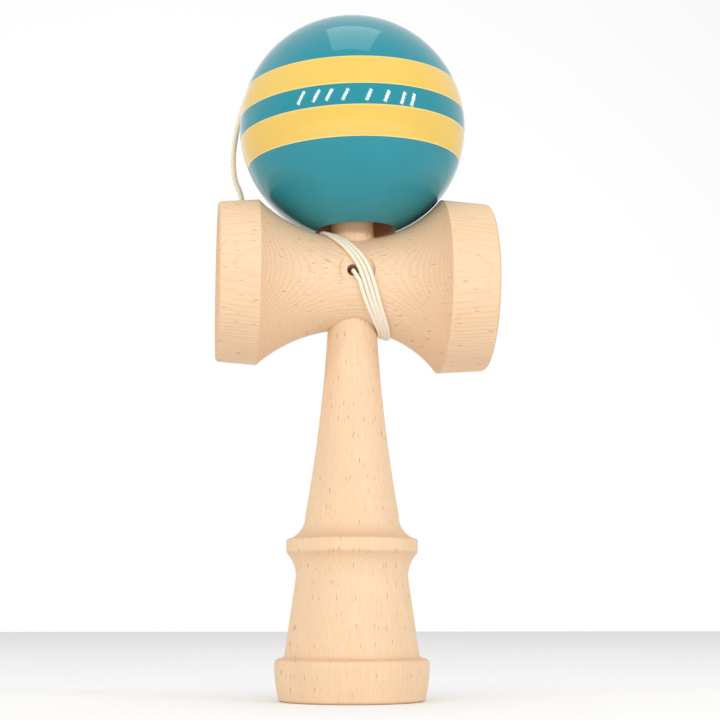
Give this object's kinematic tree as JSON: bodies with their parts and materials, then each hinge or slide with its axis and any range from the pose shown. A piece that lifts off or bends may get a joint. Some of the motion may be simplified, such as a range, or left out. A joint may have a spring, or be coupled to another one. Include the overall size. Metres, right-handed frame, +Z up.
{
  "type": "kendama",
  "caption": "Kendama: turned wooden handle with spike and base cup, crosspiece with a big and a small cup, and a glossy banded ball tethered by a string wound round the neck.",
  "frame": {"origin": "centre of the base cup's foot, in the plane that the handle stands on", "axes": "+Z up along the handle to the spike, +X along the crosspiece to the big cup, -Y the side with the string's hole"},
  "size_m": [0.071, 0.06, 0.1817],
  "materials": {
    "beech": "fine sanded, bare",
    "ball_lacquer": "gloss lacquer, teal with two yellow bands",
    "bead_wood": "satin",
    "string": "braided, matt"
  },
  "bodies": {
    "handle": {"ken": "beech", "sarado": "beech", "stem_knot": "string", "cord_lead": "string", "cord_winding": "string"},
    "string_end": {"tama_bead": "bead_wood", "tama_knot": "string", "cord_run": "string"},
    "ball": {"tama": "ball_lacquer"}
  },
  "joints": [
    {"name": "tama_lift", "type": "slide", "parent": "handle", "child": "string_end", "axis": [0, 0, 1], "range_m": [0, 0.04]},
    {"name": "tama_spin", "type": "hinge", "parent": "string_end", "child": "ball", "pos_m": [0, 0, 0.14947], "axis": [-0.0332, 0, 0.9995], "continuous": true}
  ]
}
